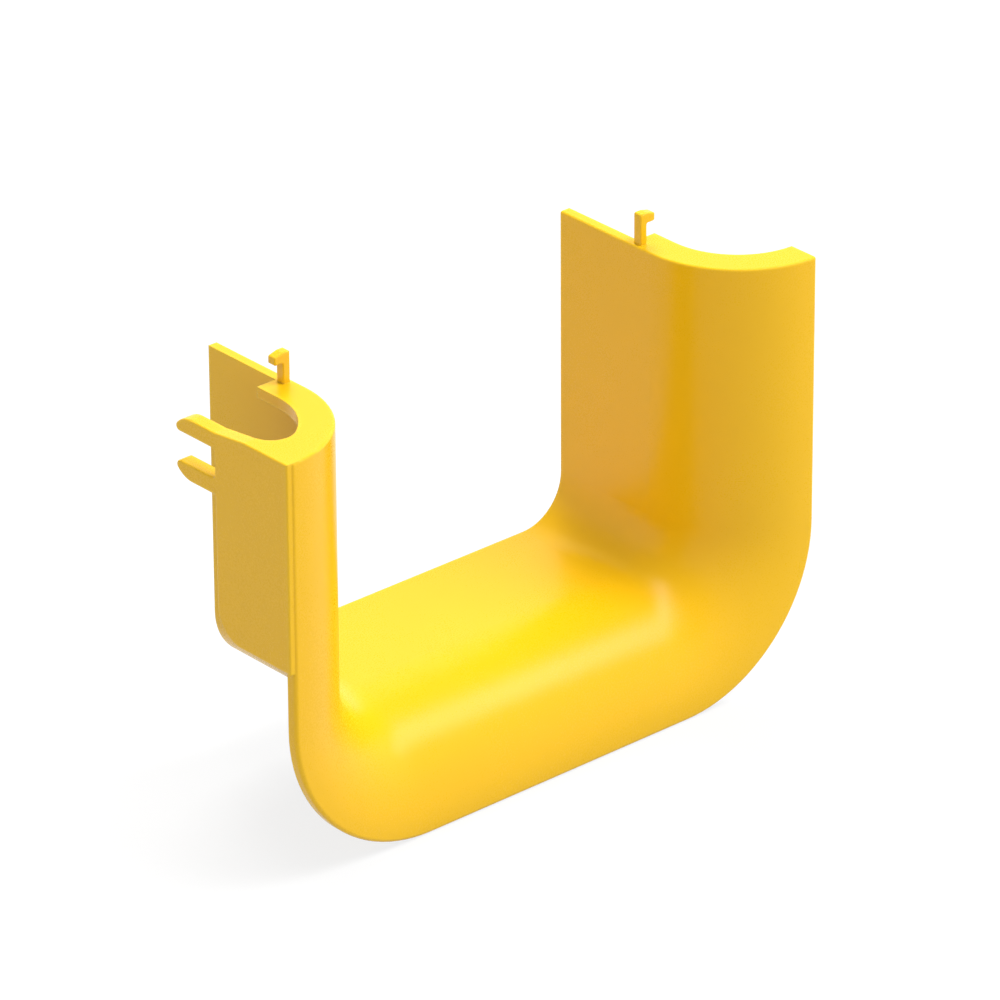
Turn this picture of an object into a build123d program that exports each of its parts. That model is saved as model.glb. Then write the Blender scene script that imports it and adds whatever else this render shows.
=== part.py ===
"""Flared side outlet of a fibre raceway, moulded in one piece.

A short open-topped channel stub ends in a mouth that rolls outward over both walls and the floor, so that
fibres leaving the raceway bend over a round lip. A ledge stiffens the lip's top on each side, a barbed hook on
each wall top holds the cover, and a flange with a two-pronged snap clip hangs from the end of the left lip.

Millimetres, +Z up. The origin is on the floor's upper surface, halfway between the walls, at the stub's open
end. The mouth faces -Y and the walls stand at -X and +X.
"""
import os
from math import acos, degrees, sqrt

from build123d import *

# Channel stub
CHANNEL_WIDTH = 114.0
WALL_HEIGHT = 87.7
WALL = 3.0
STUB_LENGTH = 33.8
CORNER_RADIUS = 13.3

# Rolled lip: the radius is that of the face that the fibres bend over
LIP_RADIUS = 30.0
RIM_ROUNDING = 1.0

# Ledge along the lip's top, measured from the fibre side of the wall
LEDGE_WIDTH = 9.0
LEDGE_THICKNESS = 3.0

# Cover hooks, one on each wall top
HOOK_TO_LIP = 4.6
HOOK_INSET = 1.1
HOOK_LENGTH = 2.7
HOOK_THICKNESS = 2.2
HOOK_HEIGHT = 8.6
BARB_REACH = 2.7
BARB_UNDERSIDE = 5.7
BARB_TIP_DROP = 0.7
HOOK_TO_LEDGE_END = 0.7

# Flange at the end of the left lip
FLANGE_LENGTH = 27.8
FLANGE_DEPTH = 56.0
FLANGE_THICKNESS = 4.0
FLANGE_STEP = 1.3
FLANGE_SETBACK = 0.3
FLANGE_HEAD = 16.5
FLANGE_DROP = 1.3
FLANGE_CORNER_RADIUS = 8.5

# Snap clip on the flange's back edge
PRONG_LENGTH = 15.7
PRONG_HEIGHT = 4.5
PRONG_GAP = 8.0
PRONG_NOSE_RADIUS = 7.4
PRONG_TIP_ROUNDING = 1.3
SLOT_ROUNDING = 1.0

# Softened edges of the moulding
TOP_EDGE_ROUNDING = 0.6
FLANGE_EDGE_ROUNDING = 0.5
FLANGE_ROOT_ROUNDING = 2.5
POCKET_CORNER_ROUNDING = 6.0
HOOK_CORNER_ROUNDING = 0.5
HOOK_EDGE_CHAMFER = 0.25

TOLERANCE = 1e-4
HALF_WIDTH = CHANNEL_WIDTH / 2
LIP_START = -STUB_LENGTH
MOUTH = LIP_START - LIP_RADIUS
LIP_REACH = HALF_WIDTH + LIP_RADIUS
FLANGE_TOP = WALL_HEIGHT - FLANGE_DROP


def wall_profile():
    """Section through wall and lip: X runs outward from the fibre side, Y along the channel."""
    lip_centre = (LIP_RADIUS, LIP_START)
    fibre_side = Line((0, 0), (0, LIP_START))
    roll = CenterArc(lip_centre, LIP_RADIUS, 180, 90)
    rim = Line((LIP_RADIUS, MOUTH), (LIP_RADIUS, MOUTH + WALL))
    back_of_roll = CenterArc(lip_centre, LIP_RADIUS - WALL, 270, -90)
    outer_side = Line((WALL, LIP_START), (WALL, 0))
    stub_end = Line((WALL, 0), (0, 0))
    section = make_face([fibre_side, roll, rim, back_of_roll, outer_side, stub_end])
    rim_corner = section.vertices().group_by(Axis.X)[-1].sort_by(Axis.Y)[0]
    return fillet(rim_corner, RIM_ROUNDING)


def channel_with_lip():
    """Wall, corner and half of the floor with the lip all along, mirrored to the other side."""
    section = wall_profile()
    upright = Pos(HALF_WIDTH, 0, CORNER_RADIUS) * section
    wall = extrude(upright, WALL_HEIGHT - CORNER_RADIUS)
    corner_axis = Axis((HALF_WIDTH - CORNER_RADIUS, 0, CORNER_RADIUS), (0, 1, 0))
    corner = revolve(upright, corner_axis, 90)
    lying = upright.rotate(corner_axis, 90)
    half_floor = extrude(lying, HALF_WIDTH - CORNER_RADIUS, dir=(-1, 0, 0))
    half = wall + corner + half_floor
    return half + mirror(half, Plane.YZ)


def ledge():
    """Stiffening ledge behind the top of the right lip, from the hook round to the lip's end."""
    start = LIP_START + HOOK_TO_LIP + HOOK_LENGTH + HOOK_TO_LEDGE_END
    in_wall = WALL / 2
    lip_centre = (LIP_RADIUS, LIP_START)
    outline = make_face([
        Line((in_wall, start), (in_wall, LIP_START)),
        CenterArc(lip_centre, LIP_RADIUS - in_wall, 180, 90),
        Line((LIP_RADIUS, MOUTH + in_wall), (LIP_RADIUS, MOUTH + LEDGE_WIDTH)),
        CenterArc(lip_centre, LIP_RADIUS - LEDGE_WIDTH, 270, -90),
        Line((LEDGE_WIDTH, LIP_START), (LEDGE_WIDTH, start)),
        Line((LEDGE_WIDTH, start), (in_wall, start)),
    ])
    return extrude(Pos(HALF_WIDTH, 0, WALL_HEIGHT) * outline, LEDGE_THICKNESS, dir=(0, 0, -1))


def prong():
    """Outline of the upper prong, from the flange's back edge and the clip's mid-height: the slot side is
    straight, and the outer side rounds down to the tip."""
    slot_side = PRONG_GAP / 2
    outer_side = slot_side + PRONG_HEIGHT
    nose_run = sqrt(PRONG_NOSE_RADIUS ** 2 - (PRONG_NOSE_RADIUS - PRONG_HEIGHT) ** 2)
    nose_start = PRONG_LENGTH - nose_run
    nose_turn = degrees(acos(1 - PRONG_HEIGHT / PRONG_NOSE_RADIUS))
    in_flange = -FLANGE_THICKNESS
    outline = make_face([
        Line((in_flange, slot_side), (PRONG_LENGTH, slot_side)),
        CenterArc((nose_start, outer_side - PRONG_NOSE_RADIUS), PRONG_NOSE_RADIUS, 90 - nose_turn, nose_turn),
        Polyline((nose_start, outer_side), (in_flange, outer_side), (in_flange, slot_side)),
    ])
    tip = outline.vertices().sort_by(Axis.X)[-1]
    return fillet(tip, PRONG_TIP_ROUNDING)


def flange_with_clip():
    """Flange plate at the end of the left lip, with a head level with the ledge, a top that falls from there to
    the back edge and, on that edge, the two prongs of the clip."""
    front = MOUTH + FLANGE_SETBACK
    head_back = MOUTH + FLANGE_HEAD
    back = MOUTH + FLANGE_LENGTH
    foot = FLANGE_TOP - FLANGE_DEPTH
    plate = make_face(Polyline(
        (front, foot),
        (back, foot),
        (back, FLANGE_TOP),
        (head_back, WALL_HEIGHT),
        (front, WALL_HEIGHT),
        close=True,
    ))
    foot_corner = plate.vertices().group_by(Axis.Y)[0].sort_by(Axis.X)[-1]
    plate = fillet(foot_corner, FLANGE_CORNER_RADIUS)
    clip_height = FLANGE_TOP - PRONG_HEIGHT - PRONG_GAP / 2
    upper = prong()
    outline = plate + Pos(back, clip_height) * (upper + mirror(upper, Plane.XZ))
    slot_corners = outline.vertices().filter_by(lambda v: is_slot_corner(v, back, clip_height))
    outline = fillet(slot_corners, SLOT_ROUNDING)
    outer_face = -LIP_REACH - FLANGE_STEP
    solid = extrude(Pos(outer_face, 0, 0) * (Plane.YZ * outline), FLANGE_THICKNESS)
    outer_edges = solid.faces().sort_by(Axis.X)[0].edges()
    return fillet(outer_edges, FLANGE_EDGE_ROUNDING)


def is_slot_corner(vertex, back, clip_height):
    """True for the two corners where the slot between the prongs meets the flange's back edge."""
    on_edge = abs(vertex.X - back) < TOLERANCE
    return on_edge and abs(abs(vertex.Y - clip_height) - PRONG_GAP / 2) < TOLERANCE


def hook():
    """Barbed hook on the right wall's top, with the barb pointing outward."""
    inner = HALF_WIDTH + HOOK_INSET
    outer = inner + HOOK_THICKNESS
    tip = outer + BARB_REACH
    sunk = WALL_HEIGHT - LEDGE_THICKNESS / 2
    top = WALL_HEIGHT + HOOK_HEIGHT
    catch = WALL_HEIGHT + BARB_UNDERSIDE
    outline = make_face(Polyline(
        (inner, sunk),
        (outer, sunk),
        (outer, catch),
        (tip, catch),
        (tip, top - BARB_TIP_DROP),
        (outer, top),
        (inner, top),
        close=True,
    ))
    corners = outline.vertices().filter_by(lambda v: v.Y > catch - TOLERANCE)
    outline = fillet(corners, HOOK_CORNER_ROUNDING)
    far_side = LIP_START + HOOK_TO_LIP + HOOK_LENGTH
    solid = extrude(Pos(0, far_side, 0) * (Plane.XZ * outline), HOOK_LENGTH)
    sides = solid.faces().filter_by(Axis.Y)
    side_edges = sides.edges().filter_by(lambda e: e.center().Z > sunk + TOLERANCE)
    return chamfer(side_edges, HOOK_EDGE_CHAMFER)


def is_flange_root(edge):
    """True for the upright inner corners where the back of the left lip and its ledge run into the flange."""
    inner_face = FLANGE_THICKNESS - FLANGE_STEP - LIP_REACH
    middle = edge @ 0.5
    behind_lip = MOUTH + WALL / 2 < middle.Y < MOUTH + LEDGE_WIDTH + FLANGE_STEP
    return behind_lip and abs(middle.X - inner_face) < TOLERANCE


def flange_roots(body):
    """The flange's inner corners, from the one at the back of the lip up to the one at the ledge."""
    return body.edges().filter_by(Axis.Z).filter_by(is_flange_root).sort_by(Axis.Z)


def is_fibre_side(edge):
    """True for a wall-top edge that the fibres can touch, on the stub or round the lip."""
    middle = edge @ 0.5
    along_stub = abs(abs(middle.X) - HALF_WIDTH) < TOLERANCE
    along_lip = edge.geom_type == GeomType.CIRCLE and abs(edge.radius - LIP_RADIUS) < TOLERANCE
    return along_stub or along_lip


def side_outlet():
    """The whole moulding."""
    right_ledge = ledge()
    body = channel_with_lip() + right_ledge + mirror(right_ledge, Plane.YZ)
    wall_tops = body.faces().filter_by(Axis.Z).group_by(Axis.Z)[-1]
    body = fillet(wall_tops.edges().filter_by(is_fibre_side), TOP_EDGE_ROUNDING)
    body = body + flange_with_clip()
    body = fillet(flange_roots(body)[0], FLANGE_ROOT_ROUNDING)
    body = fillet(flange_roots(body)[-1], POCKET_CORNER_ROUNDING)
    right_hook = hook()
    return body + right_hook + mirror(right_hook, Plane.YZ)


outlet = side_outlet()
os.makedirs("parts", exist_ok=True)
export_step(outlet, "parts/side_outlet.step")
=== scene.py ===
"""Looks of the fibre raceway side outlet: yellow moulded plastic on a white studio floor."""
from math import cos, radians, sin

import bmesh
import bpy
from mathutils import Matrix, Vector

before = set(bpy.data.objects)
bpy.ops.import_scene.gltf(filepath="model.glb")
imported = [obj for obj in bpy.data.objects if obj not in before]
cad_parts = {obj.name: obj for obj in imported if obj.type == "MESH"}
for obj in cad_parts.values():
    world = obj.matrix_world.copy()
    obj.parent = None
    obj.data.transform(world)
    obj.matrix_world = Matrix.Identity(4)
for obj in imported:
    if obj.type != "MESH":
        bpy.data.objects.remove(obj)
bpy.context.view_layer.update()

MM = 0.001
WHITE = (1, 1, 1, 1)

# Camera, turned to the left of the mouth and raised above it. It faces the floor's middle where the lip starts,
# and stands a little aside of there and above.
LIP_START = Vector((0, -33.8 * MM, 0))
CAMERA_TURN = radians(-41.375)
CAMERA_RISE = radians(27.075)
CAMERA_ROLL = radians(-0.305)
CAMERA_DISTANCE = 2015.0 * MM
CAMERA_ASIDE = 4.36 * MM
CAMERA_ABOVE = 32.97 * MM
LENS = 285.66
SENSOR = 36.0
CLIP_NEAR = 0.05
CLIP_FAR = 50.0

# Studio floor, of which the eye sees only a share of the shadow
FLOOR_LEVEL = -30.0 * MM
FLOOR_HALF_SIDE = 3.0
FLOOR_WHITE = (0.9, 0.9, 0.9, 1)
FLOOR_BOUNCE = (0.5, 0.5, 0.5, 1)
SHADOW_SHARE = 0.2

# Studio walls and ceiling: the walls' light, how far it leans to the right, and where it dims upward
SKY_LIGHT = 1.09
SKY_LEAN = 0.3
CEILING_LIGHT = 0.25
CEILING_FROM = 0.35
CEILING_TO = 0.75

# Lamps: they look at the outlet's middle, and light goes only once from face to face, which keeps hollows deep
OUTLET_MIDDLE = Vector((0, -30.0 * MM, 30.0 * MM))
DIFFUSE_BOUNCES = 1

# Yellow plastic
YELLOW = (0.905, 0.522, 0.0065, 1)
DEEP_YELLOW = (0.885, 0.50, 0.0055, 1)
# Painted highlight: the paler yellow laid along the convex edges
EDGE_HIGHLIGHT_YELLOW = (0.94, 0.63, 0.03, 1)
SATIN = 0.28
GLOSS = 0.30

# Its clouds and grain, and how much each changes the satin about the noise's middle value
NOISE_MIDDLE = 0.5
CLOUD_SCALE = 28.0
CLOUD_DETAIL = 3.0
CLOUD_SATIN = 0.10
GRAIN_SCALE = 2600.0
GRAIN_DETAIL = 2.0
GRAIN_SATIN = 0.08
GRAIN_STRENGTH = 0.06
GRAIN_HEIGHT = 0.05 * MM

# Its edges: softened, painted paler as a highlight, and smoother
EDGE_SOFTENING = 0.4 * MM
EDGE_SAMPLES = 4
EDGE_HIGHLIGHT_WIDTH = 1.2 * MM
EDGE_HIGHLIGHT_SAMPLES = 8
EDGE_HIGHLIGHT_LEAST = 0.4
RUB_POLISH = 0.08

# Sockets of a Mix node that blends colours
MIX_FIRST = 6
MIX_SECOND = 7
MIX_RESULT = 2


class Shade:
    """One socket in a node tree. Arithmetic on it adds the Math nodes that work it out."""

    def __init__(self, tree, socket=None):
        self.tree = tree
        self.socket = socket

    def node(self, kind, settings=(), inputs=(), output=0):
        """Adds a node of this kind, sets it, fills its sockets, and gives the wanted output."""
        made = self.tree.nodes.new(kind)
        for name, value in dict(settings).items():
            setattr(made, name, value)
        for name, value in dict(inputs).items():
            if isinstance(value, Shade):
                self.tree.links.new(value.socket, made.inputs[name])
            else:
                made.inputs[name].default_value = value
        return Shade(self.tree, made.outputs[output] if len(made.outputs) else None)

    def maths(self, operation, first, second):
        return self.node("ShaderNodeMath", {"operation": operation}, {0: first, 1: second})

    def __add__(self, other):
        return self.maths("ADD", self, other)

    def __radd__(self, other):
        return self.maths("ADD", other, self)

    def __sub__(self, other):
        return self.maths("SUBTRACT", self, other)

    def __rsub__(self, other):
        return self.maths("SUBTRACT", other, self)

    def __mul__(self, other):
        return self.maths("MULTIPLY", self, other)

    def __rmul__(self, other):
        return self.maths("MULTIPLY", other, self)

    def greatest(self, other):
        return self.maths("MAXIMUM", self, other)

    def blend(self, first, second):
        """The colour that lies this share of the way from the first colour to the second."""
        return self.node(
            "ShaderNodeMix",
            {"data_type": "RGBA"},
            {"Factor": self, MIX_FIRST: first, MIX_SECOND: second},
            output=MIX_RESULT,
        )


def blank_material(name):
    """A new material with nothing in it."""
    material = bpy.data.materials.new(name)
    material.use_nodes = True
    material.node_tree.nodes.clear()
    return material, Shade(material.node_tree)


def yellow_plastic():
    """Satin moulded plastic: faint clouds in the yellow, a fine grain, and soft edges with a painted highlight
    that makes them a bit paler.
    """
    material, shade = blank_material("yellow_plastic")
    place = shade.node("ShaderNodeTexCoord", output="Object")
    clouds = shade.node(
        "ShaderNodeTexNoise",
        inputs={"Vector": place, "Scale": CLOUD_SCALE, "Detail": CLOUD_DETAIL},
    )
    grain = shade.node(
        "ShaderNodeTexNoise",
        inputs={"Vector": place, "Scale": GRAIN_SCALE, "Detail": GRAIN_DETAIL},
    )
    away_from_edges = shade.node(
        "ShaderNodeAmbientOcclusion",
        {"inside": True, "only_local": True, "samples": EDGE_HIGHLIGHT_SAMPLES},
        {"Distance": EDGE_HIGHLIGHT_WIDTH},
        output="AO",
    )
    # Painted edge highlight: the convex edges, found by occlusion from inside, get a paler yellow and a lower
    # roughness
    edge_highlight_and_polish = (1 - away_from_edges) * (EDGE_HIGHLIGHT_LEAST + clouds)
    cloudy = clouds.blend(YELLOW, DEEP_YELLOW)
    roughness = (
        SATIN
        + CLOUD_SATIN * (clouds - NOISE_MIDDLE)
        + GRAIN_SATIN * (grain - NOISE_MIDDLE)
        - RUB_POLISH * edge_highlight_and_polish
    )
    softened = shade.node("ShaderNodeBevel", {"samples": EDGE_SAMPLES}, {"Radius": EDGE_SOFTENING})
    grained = shade.node(
        "ShaderNodeBump",
        inputs={"Strength": GRAIN_STRENGTH, "Distance": GRAIN_HEIGHT, "Height": grain, "Normal": softened},
    )
    plastic = shade.node(
        "ShaderNodeBsdfPrincipled",
        inputs={
            "Base Color": edge_highlight_and_polish.blend(cloudy, EDGE_HIGHLIGHT_YELLOW),
            "Roughness": roughness,
            "Normal": grained,
            "Specular IOR Level": GLOSS,
        },
    )
    shade.node("ShaderNodeOutputMaterial", inputs={"Surface": plastic})
    return material


def seen_straight(shade):
    """1 where the camera sees a thing itself, in a gloss or through glass, and 0 where it lights others."""
    by_camera = shade.node("ShaderNodeLightPath", output="Is Camera Ray")
    in_gloss = shade.node("ShaderNodeLightPath", output="Is Glossy Ray")
    through_glass = shade.node("ShaderNodeLightPath", output="Is Transmission Ray")
    return by_camera.greatest(in_gloss).greatest(through_glass)


def white_floor_paint():
    """White floor that stays white to the eye, still takes a soft shadow, and throws back half the light."""
    material, shade = blank_material("white_floor")
    bounce = shade.node("ShaderNodeBsdfDiffuse", inputs={"Color": FLOOR_BOUNCE})
    matt = shade.node("ShaderNodeBsdfDiffuse", inputs={"Color": FLOOR_WHITE})
    white = shade.node("ShaderNodeEmission", inputs={"Color": WHITE, "Strength": 1.0})
    seen = shade.node("ShaderNodeMixShader", inputs={0: 1 - SHADOW_SHARE, 1: matt, 2: white})
    mixed = shade.node("ShaderNodeMixShader", inputs={0: seen_straight(shade), 1: bounce, 2: seen})
    shade.node("ShaderNodeOutputMaterial", inputs={"Surface": mixed})
    return material


def floor():
    """Plain white floor under the outlet."""
    mesh = bpy.data.meshes.new("studio_floor")
    build = bmesh.new()
    bmesh.ops.create_grid(build, x_segments=1, y_segments=1, size=FLOOR_HALF_SIDE)
    bmesh.ops.translate(build, verts=build.verts, vec=(0, 0, FLOOR_LEVEL))
    build.to_mesh(mesh)
    build.free()
    mesh.materials.append(white_floor_paint())
    made = bpy.data.objects.new("studio_floor", mesh)
    bpy.context.scene.collection.objects.link(made)


def sky():
    """White walls all round, which dim towards the ceiling and give more light from the right than from the
    left, and a plain white background."""
    world = bpy.data.worlds.new("studio")
    world.use_nodes = True
    world.node_tree.nodes.clear()
    shade = Shade(world.node_tree)
    direction = shade.node("ShaderNodeTexCoord", output="Generated")
    height = shade.node("ShaderNodeSeparateXYZ", inputs={"Vector": direction}, output="Z")
    rightward = shade.node("ShaderNodeSeparateXYZ", inputs={"Vector": direction}, output="X")
    walls = shade.node(
        "ShaderNodeMapRange",
        {"interpolation_type": "SMOOTHSTEP"},
        {
            "Value": height,
            "From Min": CEILING_FROM,
            "From Max": CEILING_TO,
            "To Min": 1.0,
            "To Max": CEILING_LIGHT,
        },
    )
    light = SKY_LIGHT * (1 + SKY_LEAN * rightward)
    seen = seen_straight(shade)
    around = walls * (seen + (1 - seen) * light)
    by_camera = shade.node("ShaderNodeLightPath", output="Is Camera Ray")
    strength = by_camera + (1 - by_camera) * around
    white = shade.node("ShaderNodeBackground", inputs={"Color": WHITE, "Strength": strength})
    shade.node("ShaderNodeOutputWorld", inputs={"Surface": white})
    bpy.context.scene.world = world


def softbox(name, towards, distance, along, length, width, power, in_gloss):
    """A soft rectangular lamp that looks at the outlet's middle from this side, its long side lying along.
    A lamp that isn't in the gloss lights the plastic from behind a screen, with no streak of its own."""
    lamp = bpy.data.lights.new(name, "AREA")
    lamp.shape = "RECTANGLE"
    lamp.size = length
    lamp.size_y = width
    lamp.energy = power
    made = bpy.data.objects.new(name, lamp)
    aim = Vector(towards).normalized()
    across = aim.cross(Vector(along)).normalized()
    turn = Matrix((across.cross(aim), across, aim)).transposed()
    made.matrix_world = Matrix.Translation(OUTLET_MIDDLE + aim * distance) @ turn.to_4x4()
    made.visible_glossy = in_gloss
    bpy.context.scene.collection.objects.link(made)


def camera():
    """Camera at the photograph's angle, found by fitting the outlet's edges."""
    back = Vector((
        sin(CAMERA_TURN) * cos(CAMERA_RISE),
        -cos(CAMERA_TURN) * cos(CAMERA_RISE),
        sin(CAMERA_RISE),
    ))
    level = Vector((cos(CAMERA_TURN), sin(CAMERA_TURN), 0))
    upright = back.cross(level)
    right = cos(CAMERA_ROLL) * level + sin(CAMERA_ROLL) * upright
    up = cos(CAMERA_ROLL) * upright - sin(CAMERA_ROLL) * level
    place = LIP_START + back * CAMERA_DISTANCE + right * CAMERA_ASIDE + up * CAMERA_ABOVE
    turn = Matrix((right, up, back)).transposed()
    data = bpy.data.cameras.new("photo_camera")
    data.sensor_width = SENSOR
    data.lens = LENS
    data.clip_start = CLIP_NEAR
    data.clip_end = CLIP_FAR
    made = bpy.data.objects.new("photo_camera", data)
    made.matrix_world = Matrix.Translation(place) @ turn.to_4x4()
    bpy.context.scene.collection.objects.link(made)
    bpy.context.scene.camera = made


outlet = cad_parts["side_outlet"]
outlet.material_slots[0].material = yellow_plastic()
floor()
sky()
softbox(
    "strip_softbox",
    towards=(0.35, -0.28, 1.0),
    distance=2.2,
    along=(1.0, -0.5, 0.0),
    length=3.0,
    width=0.6,
    power=30.0,
    in_gloss=True,
)
softbox(
    "top_softbox",
    towards=(0.35, -0.45, 1.0),
    distance=2.4,
    along=(1.0, 0.0, 0.0),
    length=1.2,
    width=1.2,
    power=17.9,
    in_gloss=False,
)
softbox(
    "back_softbox",
    towards=(0.35, 0.5, 0.8),
    distance=2.4,
    along=(1.0, 0.0, 0.0),
    length=1.2,
    width=1.2,
    power=41.2,
    in_gloss=False,
)
camera()
bpy.context.scene.view_settings.view_transform = "Standard"
bpy.context.scene.cycles.diffuse_bounces = DIFFUSE_BOUNCES
